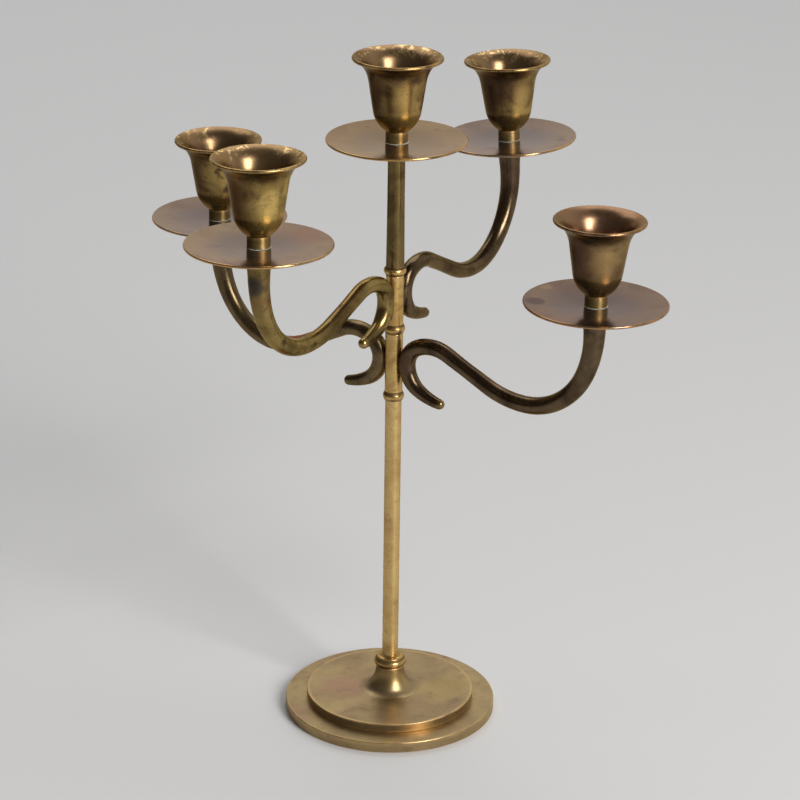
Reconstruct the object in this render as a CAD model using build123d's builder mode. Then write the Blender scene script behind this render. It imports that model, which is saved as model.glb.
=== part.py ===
from build123d import *
import os

# Tabletop candelabra in brass: five candle cups over a stepped round base.
# Millimetres, +Z up, origin at the centre of the base's underside.
#
# One threaded rod runs up the middle and clamps the base, the stem pieces and the centre cup.
# Each pair of arms is brazed to a hub sleeve that turns on this rod between two rings:
# the lower pair (right, left) lies along X and the upper pair (back, front) close to Y.

# Base
plate_radius = 50.0
plate_height = 5.1
step_radius = 39.8
step_height = 4.3
disc_edge = 0.4              # chamfer on the rims of both discs
recess_radius = 11.0         # hollow under the base for the clamping nut
recess_depth = 4.1
trumpet_top_radius = 6.55    # the turned boss that rises from the step
trumpet_top = 21.2
trumpet_neck_bend = (15.5, 37)   # radius and turn of the upper hollow curve
trumpet_foot_bend = (6.28, 53)   # the tighter curve that runs out into the step
neck_groove_radius = 6.1
neck_groove_height = 0.4

# Central rod and its nuts
rod_radius = 2.5
rod_start = 0.3
running_gap = 0.06           # radial clearance of everything that is threaded over the rod
rod_bore = rod_radius + running_gap
nut_flats = 8.0
thin_nut_height = 2.7
nut_height = 4.0
washer_radius = 7.5
washer_height = 1.0
rod_above_nut = 1.0

# Stem, from the base upwards
foot_ring_height = 5.8
foot_ring_radius = 7.05
foot_ring_seat = 3.0         # depth of the socket that the lower stem stands in
stem_radius = 3.8
ring_height = 4.0
ring_end_radius = 4.25
lower_ring_base = 158.2
lower_ring_radius = 4.95
middle_ring_base = 191.2
middle_ring_radius = 5.0
upper_ring_base = 219.3
upper_ring_radius = 5.2
hub_radius = 4.1
hub_gap = 0.1                # end clearance between a hub sleeve and the rings around it
upper_stem_foot_radius = 4.2
upper_stem_waist_radius = 3.95
upper_stem_waist = 258.0
upper_stem_flare = 275.0     # height where the stem starts to widen under the pan
upper_stem_top_radius = 4.75

# Arms: an S of tangent arcs, from the hub out to the pan, and a curled tail below
lower_arm_contact = 177.2    # height where the arm's back touches the hub
upper_arm_contact = 208.7
upper_pair_angle = 93.5      # the upper pair as left standing, measured from the lower pair
contact_reach = 7.6          # centreline distance from the axis at that height
tail_bends = ((13.4, 61), (33.0, 21))
crook_bend = (10.3, -63.5)
arch_bend = (19.0, -52)
slope_length = 23.427        # gives the arm its 105 mm reach
dip_bend = (43.9, 25.5)
rise_bends = ((32.0, 30), (36.0, 36), (47.5, 24))
pan_rise = 48.3              # from the contact height to the underside of the pan
section_spacing = 7.8
tail_tip_radius = 2.2
# Rod radius at distances along the arm, measured back from the pan
rod_taper = ((0, 4.9), (20, 4.5), (45, 4.0), (65, 4.0), (105, 3.4), (140, 3.9), (152, 3.7))

# Cups, collars and pans, stacked on every arm and on the stem
pan_radius = 32.1
pan_thickness = 1.2
pan_dish = 1.7               # how far the rim stands above the flat middle
pan_land_radius = 6.5        # the flat middle, where the collar sits
pan_edge = 0.45
collar_radius = 5.1
collar_height = 5.4
centre_pan_base = 280.8
cup_foot_radius = 5.2
cup_bowl_top = (11.0, 9.3)
cup_body_top = (13.04, 22.85)
cup_flare_bends = ((16.0, 21.45), (9.0, 42))
cup_wall = 1.5
cup_floor = 2.1
cup_floor_radius = 5.0
socket_radius = 11.1         # takes a 22 mm candle
socket_base = 15.5
socket_top = 22.5
socket_ledge = 10.2

# Cup screws
screw_radius = 2.0
screw_clearance = 0.1
screw_length = 19.0
screw_hole_depth = 14.0
screw_head_radius = 3.5
screw_head_height = 2.4
slot_width = 1.0
slot_depth = 1.1

step_base = plate_height
step_top = step_base + step_height
foot_ring_base = trumpet_top + neck_groove_height
foot_ring_top = foot_ring_base + foot_ring_height
cup_foot_above_pan = pan_thickness + collar_height
centre_cup_foot = centre_pan_base + cup_foot_above_pan
centre_floor = centre_cup_foot + cup_floor
rod_top = centre_floor + nut_height + rod_above_nut

os.makedirs("parts", exist_ok=True)


def write_piece(piece, name):
    """Label a finished piece and write its STEP file."""
    piece.part.label = name
    export_step(piece.part, f"parts/{name}.step")


def section_plane(x=0.0, y=0.0, z=0.0):
    """The upright plane that profiles are drawn in: across is +X, up is +Z."""
    return Plane(origin=(x, y, z), x_dir=(1, 0, 0), z_dir=(0, -1, 0))


def upright_axis(x=0.0, y=0.0):
    return Axis((x, y, 0), (0, 0, 1))


# ---------------------------------------------------------------- base

def base_plate():
    """The wide lower disc, hollowed underneath for the washer and nut."""
    with BuildPart() as plate:
        with BuildSketch():
            Circle(plate_radius)
        extrude(amount=plate_height)
        chamfer(plate.edges().filter_by(GeomType.CIRCLE), disc_edge)
        with BuildSketch():
            Circle(recess_radius)
        extrude(amount=recess_depth, mode=Mode.SUBTRACT)
        Hole(rod_bore)
    write_piece(plate, "base_plate")


def base_step():
    """The smaller disc on top, turned in one piece with the trumpet-shaped boss."""
    with BuildPart() as step:
        with BuildSketch(section_plane()):
            with BuildLine():
                neck = JernArc((trumpet_top_radius, trumpet_top), (0, -1), *trumpet_neck_bend)
                foot = JernArc(neck @ 1, neck % 1, *trumpet_foot_bend)
                Polyline(
                    foot @ 1,
                    (step_radius - disc_edge, (foot @ 1).Y),
                    (step_radius, (foot @ 1).Y - disc_edge),
                    (step_radius, step_base),
                    (rod_bore, step_base),
                    (rod_bore, foot_ring_base),
                    (neck_groove_radius, foot_ring_base),
                    (neck_groove_radius, trumpet_top),
                    (trumpet_top_radius, trumpet_top),
                )
            make_face()
        revolve(axis=upright_axis())
    write_piece(step, "base_step")


def base_washer():
    with BuildPart() as washer:
        with BuildSketch(Plane.XY.offset(recess_depth - washer_height)):
            Circle(washer_radius)
            Circle(rod_bore, mode=Mode.SUBTRACT)
        extrude(amount=washer_height)
    write_piece(washer, "base_washer")


def hex_nut(name, base, height):
    """A plain hexagon nut on the central rod."""
    with BuildPart() as nut:
        with BuildSketch(Plane.XY.offset(base)):
            RegularPolygon(nut_flats / 2, 6, major_radius=False)
            Circle(rod_radius, mode=Mode.SUBTRACT)
        extrude(amount=height)
    write_piece(nut, name)


def tie_rod():
    """The rod that holds the stack together, from the base recess to the centre cup."""
    with BuildPart() as rod:
        with BuildSketch(Plane.XY.offset(rod_start)):
            Circle(rod_radius)
        extrude(amount=rod_top - rod_start)
        chamfer(rod.edges().filter_by(GeomType.CIRCLE), disc_edge)
    write_piece(rod, "tie_rod")


# ---------------------------------------------------------------- stem

def foot_ring():
    """The moulded ring between the trumpet and the lower stem, with a socket for the stem."""
    bead_middle = foot_ring_base + 2.1
    bead_top = foot_ring_base + 4.0
    seat = foot_ring_top - foot_ring_seat
    with BuildPart() as ring:
        with BuildSketch(section_plane()):
            with BuildLine():
                bead = ThreePointArc(
                    (6.2, foot_ring_base),
                    (foot_ring_radius, bead_middle),
                    (6.0, bead_top),
                )
                shoulder = ThreePointArc(
                    bead @ 1,
                    (4.9, bead_top + 0.6),
                    (stem_radius + 0.45, foot_ring_top),
                )
                Polyline(
                    shoulder @ 1,
                    (stem_radius, foot_ring_top),
                    (stem_radius, seat),
                    (rod_bore, seat),
                    (rod_bore, foot_ring_base),
                    bead @ 0,
                )
            make_face()
        revolve(axis=upright_axis())
    write_piece(ring, "foot_ring")


def tube(name, base, top, radius):
    """A straight sleeve threaded over the central rod."""
    with BuildPart() as sleeve:
        with BuildSketch(Plane.XY.offset(base)):
            Circle(radius)
            Circle(rod_bore, mode=Mode.SUBTRACT)
        extrude(amount=top - base)
    write_piece(sleeve, name)


def stem_ring(name, base, radius):
    """A rounded ring that separates two sleeves of the stem."""
    with BuildPart() as ring:
        with BuildSketch(section_plane(z=base)):
            with BuildLine():
                bead = ThreePointArc(
                    (ring_end_radius, 0),
                    (radius, ring_height / 2),
                    (ring_end_radius, ring_height),
                )
                Polyline(bead @ 1, (rod_bore, ring_height), (rod_bore, 0), bead @ 0)
            make_face()
        revolve(axis=upright_axis())
    write_piece(ring, name)


def upper_stem():
    """The tapered sleeve under the centre pan, which it meets in a small flare."""
    with BuildPart() as stem:
        with BuildSketch(section_plane()):
            with BuildLine():
                taper = Line(
                    (upper_stem_foot_radius, upper_ring_base + ring_height),
                    (upper_stem_waist_radius, upper_stem_waist),
                )
                waist = Line(taper @ 1, (upper_stem_waist_radius, upper_stem_flare))
                flare = TangentArc(
                    waist @ 1,
                    (upper_stem_top_radius, centre_pan_base),
                    tangent=waist % 1,
                )
                Polyline(
                    flare @ 1,
                    (rod_bore, centre_pan_base),
                    (rod_bore, upper_ring_base + ring_height),
                    taper @ 0,
                )
            make_face()
        revolve(axis=upright_axis())
    write_piece(stem, "upper_stem")


# ---------------------------------------------------------------- arms

def taper_radius(distance):
    """Radius of the arm's rod at a distance back from the pan, easing between the sizes given."""
    sizes = rod_taper + ((arm_length, tail_tip_radius),)
    for (start, start_radius), (end, end_radius) in zip(sizes, sizes[1:]):
        if distance <= end:
            share = (distance - start) / (end - start)
            return start_radius + (end_radius - start_radius) * share
    return tail_tip_radius


def chain_of_bends(start, heading, bends):
    """Tangent arcs joined end to end; returns the last one."""
    for radius, turn in bends:
        arc = JernArc(start, heading, radius, turn)
        start = arc @ 1
        heading = arc % 1
    return arc


def arm_route():
    """Centreline of an arm towards +X: up is above the contact with the hub."""
    contact = (contact_reach, 0)
    with BuildLine(section_plane()) as route:
        chain_of_bends(contact, (0, -1), tail_bends)
        arch = chain_of_bends(contact, (0, 1), (crook_bend, arch_bend))
        slope = PolarLine(arch @ 1, slope_length, direction=arch % 1)
        rise = chain_of_bends(slope @ 1, slope % 1, (dip_bend,) + rise_bends)
        PolarLine(rise @ 1, pan_rise - (rise @ 1).Z, direction=rise % 1)
    return route.wires()[0]


centreline = arm_route()             # runs from the pan back to the tip of the tail
arm_length = centreline.length
arm_reach = (centreline @ 0).X


def arm_blank():
    """One curved arm at the height of its contact, fitted to the hub and drilled for its screw."""
    section_count = round(arm_length / section_spacing)
    with BuildPart() as rod:
        for index in range(section_count + 1):
            share = index / section_count
            across = Plane(centreline @ share, x_dir=(0, 1, 0), z_dir=centreline % share)
            with BuildSketch(across):
                Circle(taper_radius(share * arm_length))
        loft()
        with Locations(centreline @ 1):
            Sphere(tail_tip_radius)
        Cylinder(hub_radius, 4 * hub_radius, mode=Mode.SUBTRACT)
        with Locations(centreline @ 0):
            Cylinder(screw_radius, 2 * screw_hole_depth, mode=Mode.SUBTRACT)
    return rod.part


def arm(name, blank, angle, contact_height):
    """An arm turned to its place round the stem."""
    with BuildPart() as rod:
        with Locations((0, 0, contact_height)):
            add(blank, rotation=(0, 0, angle))
    write_piece(rod, name)


# ---------------------------------------------------------------- pans, collars, cups, screws

def pan(name, x, y, base, hole_radius):
    """The shallow dished drip pan, with its edge rounded over."""
    with BuildPart() as dish:
        with BuildSketch(section_plane(x, y, base)):
            with BuildLine():
                Polyline(
                    (hole_radius, 0),
                    (pan_land_radius, 0),
                    (pan_radius, pan_dish),
                    (pan_radius, pan_dish + pan_thickness),
                    (pan_land_radius, pan_thickness),
                    (hole_radius, pan_thickness),
                    close=True,
                )
            make_face()
        revolve(axis=upright_axis(x, y))
        rim_edges = dish.edges().filter_by(GeomType.CIRCLE).sort_by(SortBy.RADIUS)[-2:]
        fillet(rim_edges, pan_edge)
    write_piece(dish, name)


def collar(name, x, y, base, hole_radius):
    """The short sleeve that spaces the cup off its pan."""
    with BuildPart() as spacer:
        with BuildSketch(Plane.XY.offset(base)):
            with Locations((x, y)):
                Circle(collar_radius)
                Circle(hole_radius, mode=Mode.SUBTRACT)
        extrude(amount=collar_height)
    write_piece(spacer, name)


def cup(name, x, y, foot, hole_radius):
    """The candle cup: a bowl, a straight body and a flared lip round a cylindrical socket."""
    body_lean = Vector(*cup_body_top) - Vector(*cup_bowl_top)
    with BuildPart() as vessel:
        with BuildSketch(section_plane(x, y, foot)):
            with BuildLine():
                bowl = TangentArc(cup_bowl_top, (cup_foot_radius, 0), tangent=body_lean * -1)
                body = Line(cup_bowl_top, cup_body_top)
                (waist_radius, waist_turn), (flare_radius, flare_turn) = cup_flare_bends
                waist = JernArc(body @ 1, body % 1, waist_radius, -waist_turn)
                flare = JernArc(waist @ 1, waist % 1, flare_radius, -flare_turn)
                lip = JernArc(flare @ 1, flare % 1, cup_wall / 2, 180)
                inner_flare = JernArc(lip @ 1, lip % 1, flare_radius + cup_wall, flare_turn)
                inner_waist = JernArc(
                    inner_flare @ 1,
                    inner_flare % 1,
                    waist_radius + cup_wall,
                    waist_turn,
                )
                inner_bowl_top = (cup_bowl_top[0] - cup_wall, cup_bowl_top[1])
                socket = Polyline(
                    inner_waist @ 1,
                    (socket_radius, socket_top),
                    (socket_radius, socket_base),
                    (socket_ledge, socket_base),
                    inner_bowl_top,
                )
                inner_bowl = TangentArc(
                    inner_bowl_top,
                    (cup_floor_radius, cup_floor),
                    tangent=body_lean * -1,
                )
                Polyline(
                    inner_bowl @ 1,
                    (hole_radius, cup_floor),
                    (hole_radius, 0),
                    (cup_foot_radius, 0),
                )
            make_face()
        revolve(axis=upright_axis(x, y))
    write_piece(vessel, name)


def cup_screw(name, x, y, seat):
    """The slotted screw that goes down through cup, collar and pan into the arm."""
    with BuildPart() as screw:
        with BuildSketch(Plane.XY.offset(seat - screw_length)):
            with Locations((x, y)):
                Circle(screw_radius)
        extrude(amount=screw_length)
        with BuildSketch(Plane.XY.offset(seat)):
            with Locations((x, y)):
                Circle(screw_head_radius)
        extrude(amount=screw_head_height)
        chamfer(screw.edges().group_by(Axis.Z)[-1], disc_edge)
        with BuildSketch(Plane.XY.offset(seat + screw_head_height)):
            with Locations((x, y)):
                Rectangle(2.5 * screw_head_radius, slot_width)
        extrude(amount=-slot_depth, mode=Mode.SUBTRACT)
    write_piece(screw, name)


def candle_stand(prefix, x, y, pan_base):
    """Pan, collar, cup and screw stacked on the end of an arm."""
    hole_radius = screw_radius + screw_clearance
    cup_foot = pan_base + cup_foot_above_pan
    pan(f"{prefix}_pan", x, y, pan_base, hole_radius)
    collar(f"{prefix}_collar", x, y, pan_base + pan_thickness, hole_radius)
    cup(f"{prefix}_cup", x, y, cup_foot, hole_radius)
    cup_screw(f"{prefix}_screw", x, y, cup_foot + cup_floor)


def arm_pair(blank, arms, contact_height):
    """The two arms of one tier with everything that stands on them."""
    for prefix, angle in arms:
        arm(f"{prefix}_arm", blank, angle, contact_height)
        end = Vector(arm_reach, 0, 0).rotate(Axis.Z, angle)
        candle_stand(prefix, end.X, end.Y, contact_height + pan_rise)


# ---------------------------------------------------------------- assembly

base_plate()
base_step()
base_washer()
hex_nut("base_nut", recess_depth - washer_height - thin_nut_height, thin_nut_height)
tie_rod()

foot_ring()
tube("lower_stem", foot_ring_top - foot_ring_seat, lower_ring_base, stem_radius)
stem_ring("lower_ring", lower_ring_base, lower_ring_radius)
stem_ring("middle_ring", middle_ring_base, middle_ring_radius)
stem_ring("upper_ring", upper_ring_base, upper_ring_radius)
upper_stem()

lower_hub_base = lower_ring_base + ring_height + hub_gap
upper_hub_base = middle_ring_base + ring_height + hub_gap
tube("lower_hub", lower_hub_base, middle_ring_base - hub_gap, hub_radius)
tube("upper_hub", upper_hub_base, upper_ring_base - hub_gap, hub_radius)

arm_shape = arm_blank()
lower_pair = (("right", 0), ("left", 180))
upper_pair = (("back", upper_pair_angle), ("front", upper_pair_angle - 180))
arm_pair(arm_shape, lower_pair, lower_arm_contact)
arm_pair(arm_shape, upper_pair, upper_arm_contact)

pan("centre_pan", 0, 0, centre_pan_base, rod_bore)
collar("centre_collar", 0, 0, centre_pan_base + pan_thickness, rod_bore)
cup("centre_cup", 0, 0, centre_cup_foot, rod_bore)
hex_nut("top_nut", centre_floor, nut_height)
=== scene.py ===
import bpy
import numpy as np
from mathutils import Matrix, Vector


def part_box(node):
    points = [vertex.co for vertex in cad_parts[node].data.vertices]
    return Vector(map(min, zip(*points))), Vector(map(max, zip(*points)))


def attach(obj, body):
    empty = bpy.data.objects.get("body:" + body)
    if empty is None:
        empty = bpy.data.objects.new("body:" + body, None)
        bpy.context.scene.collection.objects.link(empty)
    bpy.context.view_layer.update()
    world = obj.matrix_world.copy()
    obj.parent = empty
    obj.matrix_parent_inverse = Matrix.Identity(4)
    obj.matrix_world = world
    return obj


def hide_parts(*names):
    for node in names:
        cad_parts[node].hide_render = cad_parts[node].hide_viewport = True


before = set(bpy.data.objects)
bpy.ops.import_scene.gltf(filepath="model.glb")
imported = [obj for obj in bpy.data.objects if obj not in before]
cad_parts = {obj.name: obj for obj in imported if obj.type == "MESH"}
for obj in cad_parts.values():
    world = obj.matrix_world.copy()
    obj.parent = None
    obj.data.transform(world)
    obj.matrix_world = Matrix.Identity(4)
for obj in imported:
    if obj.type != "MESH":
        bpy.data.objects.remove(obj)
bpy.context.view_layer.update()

# A five-cup brass candelabra: turned, spun and cast pieces under an old, uneven patina.
# Shapes are drawn in millimetres and stood on the frame's own places, which are in metres.
MM = 0.001
FULL_TURN = 2 * np.pi
BORE = 2.7                    # radius of the hole down through whatever a rod or screw holds
BASE_BORE = 2.6


# ------------------------------------------------------------------ small helpers

def linear(hex_colour):
    """An sRGB hex value as linear red, green, blue and alpha."""
    parts = np.array([int(hex_colour[i:i + 2], 16) for i in (1, 3, 5)]) / 255
    curve = np.where(parts <= 0.04045, parts / 12.92, ((parts + 0.055) / 1.055) ** 2.4)
    return (*curve.tolist(), 1.0)


def node(tree, kind, inputs=None, **settings):
    """Add a node, set its properties, then set or link its inputs."""
    made = tree.nodes.new(kind)
    for key, value in settings.items():
        setattr(made, key, value)
    for key, value in (inputs or {}).items():
        if isinstance(value, bpy.types.NodeSocket):
            tree.links.new(value, made.inputs[key])
        else:
            made.inputs[key].default_value = value
    return made


def foot_of(name):
    """Where a CAD node stands: the middle of its box in plan and its lowest height, in metres."""
    low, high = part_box(name)
    return np.array([(low[0] + high[0]) / 2, (low[1] + high[1]) / 2, low[2]])


# ------------------------------------------------------------------ drawing profiles

class Pen:
    """Draws an outline in millimetres from straight runs and tangent bends.

    A bend of radius r through an angle a moves the pen along a circle about the point r to its
    left (a > 0) or right (a < 0).  The outline is kept as closely spaced points."""

    def __init__(self, start, heading=0.0, spacing=0.8):
        self.at = np.array(start, float)
        self.heading = np.radians(heading)
        self.spacing = spacing
        self.strokes = [self.at[None]]

    def run(self, length):
        """A straight run; points crowd towards its two ends so that edges stay crisp."""
        count = max(2, int(length / self.spacing))
        share = np.linspace(0, 1, count + 1)[1:]
        if length > 4 * self.spacing:
            share = np.unique(np.concatenate([[0.1 / length, 1 - 0.1 / length], share]))
        step = np.array([np.cos(self.heading), np.sin(self.heading)])
        self.strokes.append(self.at + np.outer(share * length, step))
        self.at = self.strokes[-1][-1]
        return self

    def to(self, *point):
        """A straight run to a point."""
        gap = np.array(point, float) - self.at
        self.heading = np.arctan2(gap[1], gap[0])
        return self.run(float(np.hypot(*gap)))

    def bend(self, radius, turn):
        """A circular bend that carries on from the present heading."""
        turn = np.radians(turn)
        count = max(4, int(abs(turn) * radius / self.spacing), int(abs(np.degrees(turn)) / 9))
        swept = np.linspace(0, turn, count + 1)[1:]
        side = np.sign(turn) * radius
        centre = self.at + side * np.array([-np.sin(self.heading), np.cos(self.heading)])
        facing = self.heading + swept
        self.strokes.append(centre + side * np.stack([np.sin(facing), -np.cos(facing)], axis=1))
        self.at = self.strokes[-1][-1]
        self.heading += turn
        return self

    def points(self):
        return np.concatenate(self.strokes)


def rounded(corners, spacing=0.8):
    """A closed outline through corners given as (across, up, rounding radius).

    At each corner the two sides stop at radius * tan(half the turn) and a tangent arc joins
    them, so every edge has its real, slightly broken shape."""
    spots = np.array([corner[:2] for corner in corners], float)
    radii = np.array([corner[2] for corner in corners], float)
    into = spots - np.roll(spots, 1, axis=0)
    onward = np.roll(into, -1, axis=0)
    into_angle = np.arctan2(into[:, 1], into[:, 0])
    turns = np.arctan2(onward[:, 1], onward[:, 0]) - into_angle
    turns = (turns + np.pi) % FULL_TURN - np.pi
    cuts = radii * np.tan(np.abs(turns) / 2)
    sides = np.hypot(*onward.T) - cuts - np.roll(cuts, -1)
    first = into[0] / np.hypot(*into[0])
    pen = Pen(spots[0] - first * cuts[0], np.degrees(into_angle[0]), spacing)
    for radius, turn, side in zip(radii, turns, sides):
        if radius > 0:
            pen.bend(radius, np.degrees(turn))
        else:
            pen.heading += turn
        if side > 1e-6:
            pen.run(side)
    return pen.points()[:-1]


EDGE_REACH = 0.55             # how far, in millimetres, an edge's wear and a corner's dirt spread
FULL_WEAR_TURN = 1.2          # an edge that turns this far, in radians, is worn quite bare
FULL_GRIME_TURN = 1.0         # and a corner that turns this far is quite full of dirt


def edge_signs(outline):
    """Wear (outside edges, 0 to 1) and grime (inside corners, 0 to 1) along a closed outline.

    Each is the sum of the outline's turns near a point, weighted by exp(-(gap / reach) squared)
    and divided by the turn that counts as full."""
    ahead = np.roll(outline, -1, axis=0) - outline
    behind = np.roll(ahead, 1, axis=0)
    lengths = np.hypot(*ahead.T)
    cross = behind[:, 0] * ahead[:, 1] - behind[:, 1] * ahead[:, 0]
    turn = np.arctan2(cross, (behind * ahead).sum(1))
    onward = np.roll(outline, -1, axis=0)
    area = 0.5 * np.sum(outline[:, 0] * onward[:, 1] - outline[:, 1] * onward[:, 0])
    turn = turn * np.sign(area)
    along = np.cumsum(lengths)
    gap = np.abs(along[:, None] - along[None])
    gap = np.minimum(gap, lengths.sum() - gap)
    near = np.exp(-(gap / EDGE_REACH) ** 2)
    outside = near @ np.maximum(turn, 0)
    inside = near @ np.maximum(-turn, 0)
    return np.clip(outside / FULL_WEAR_TURN, 0, 1), np.clip(inside / FULL_GRIME_TURN, 0, 1)


# ------------------------------------------------------------------ making pieces

def skin(rings, wraps):
    """Points and faces over a grid whose rows are closed rings.

    Where the rows wrap, the last ring joins the first; otherwise a fan closes each end.  The
    faces are turned outwards by the sign of the enclosed volume."""
    rows, columns = rings.shape[:2]
    index = np.arange(rows * columns).reshape(rows, columns)
    here = index if wraps else index[:-1]
    above = np.roll(index, -1, axis=0) if wraps else index[1:]
    quads = np.stack([here, np.roll(here, -1, 1), np.roll(above, -1, 1), above], -1).reshape(-1, 4)
    points = rings.reshape(-1, 3)
    corner = points[quads]
    volume = np.einsum("ij,ij->i", corner[:, 0] + corner[:, 2],
                       np.cross(corner[:, 1] - corner[:, 0], corner[:, 3] - corner[:, 0])).sum()
    fans = []
    if not wraps:
        points = np.vstack([points, rings[0].mean(0), rings[-1].mean(0)])
        ends = np.full(columns, rows * columns)
        fans = np.vstack([
            np.stack([ends, np.roll(index[0], -1), index[0]], -1),
            np.stack([ends + 1, index[-1], np.roll(index[-1], -1)], -1),
        ])
    if volume < 0:
        quads = quads[:, ::-1]
        fans = fans[:, ::-1] if len(fans) else fans
    return points, quads.tolist() + np.asarray(fans).tolist()


def add_piece(name, rings, wraps, grain, wear, grime, zone, finish, body,
              replaces=(), bend=None):
    """Build the mesh in metres, give it its attributes and material, and fix it to its body.

    A fan's middle point, which the rings don't have, takes the last ring's attributes."""
    points, faces = skin(rings if bend is None else bend(rings), wraps)
    mesh = bpy.data.meshes.new(name)
    mesh.from_pydata(points * MM, [], faces)
    mesh.polygons.foreach_set("use_smooth", np.ones(len(faces), bool))
    spare = len(points) - grain.reshape(-1, 3).shape[0]
    for label, kind, field, values in (
        ("grain", "FLOAT_VECTOR", "vector", grain.reshape(-1, 3)),
        ("wear", "FLOAT", "value", wear.reshape(-1, 1)),
        ("grime", "FLOAT", "value", grime.reshape(-1, 1)),
        ("zone", "FLOAT", "value", zone.reshape(-1, 1)),
    ):
        padded = np.vstack([values] + [values[-1:]] * spare)
        mesh.attributes.new(label, kind, "POINT").data.foreach_set(field, padded.ravel())
    mesh.materials.append(finish)
    mesh.update()
    piece = bpy.data.objects.new(name, mesh)
    bpy.context.scene.collection.objects.link(piece)
    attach(piece, body)
    if replaces:
        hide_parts(*replaces)
    return piece


LATHE_GRAIN = 6               # turning marks stay alike over about this many millimetres round
ROD_GRAIN = 3                 # the same for the finer marks round a cast arm
ROD_GRAIN_STRETCH = 0.12      # marks run lengthwise on an arm, stretched by one over this


def lathe(name, outline, stand, finish, body, columns=96, zone=None, shift=None,
          bend=None, replaces=()):
    """Turn an outline of (radius, height) in millimetres about the upright line through stand.

    Point (r, h) at angle a goes to stand + (r cos a, r sin a, h).  The grain attribute is
    (length along the outline, g cos a, g sin a), so that turning marks run round the piece.
    zone is a value for each point of the outline that some finishes read."""
    angle = np.linspace(0, FULL_TURN, columns, endpoint=False)
    radius, height = outline[:, :1], outline[:, 1:]
    rings = np.stack([
        radius * np.cos(angle),
        radius * np.sin(angle),
        height + 0 * angle,
    ], axis=-1)
    along = np.concatenate([[0], np.cumsum(np.hypot(*np.diff(outline, axis=0).T))])
    grain = np.stack([
        along[:, None] + 0 * angle,
        LATHE_GRAIN * np.cos(angle) + 0 * radius,
        LATHE_GRAIN * np.sin(angle) + 0 * radius,
    ], axis=-1)
    worn, dirty = edge_signs(outline)
    wear = worn[:, None] + 0 * angle
    grime = dirty[:, None] + 0 * angle
    zone = (height if zone is None else zone[:, None]) + 0 * angle
    if shift is not None:
        rings = shift(rings, angle)
    rings = rings + stand / MM
    return add_piece(name, rings, True, grain, wear, grime, zone, finish, body,
                     replaces, bend)


def sway(depth, waves, seed):
    """Hand-work in a turned piece, as a function on its rings.

    Heights drift by a sum of slow cosine waves round the piece, times the square of the
    distance from its axis as a share of its radius."""
    spin = np.random.default_rng(seed)
    phase = spin.uniform(0, FULL_TURN, waves)
    size = spin.normal(0, depth, waves) / np.arange(1, waves + 1)

    def shift(rings, angle):
        count = np.arange(1, waves + 1)[:, None]
        drift = (size[:, None] * np.cos(count * angle + phase[:, None])).sum(0)
        reach = np.hypot(rings[..., 0], rings[..., 1])
        share = reach / reach.max()
        moved = rings.copy()
        moved[..., 2] += drift * share ** 2
        return moved

    return shift


# ------------------------------------------------------------------ finishes

def per(size_mm):
    """Noise scale whose features are about this many millimetres, on coordinates in metres."""
    return 1 / (size_mm * MM)


PIT_MM = 0.9                  # pits are finer than this on the real metal, but would not show
LINE_MM = 0.45                # spacing of turning and drawing marks, coarse enough to show
GLOSS_DRIFT = 0.06            # the roughness wanders this far either way


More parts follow.
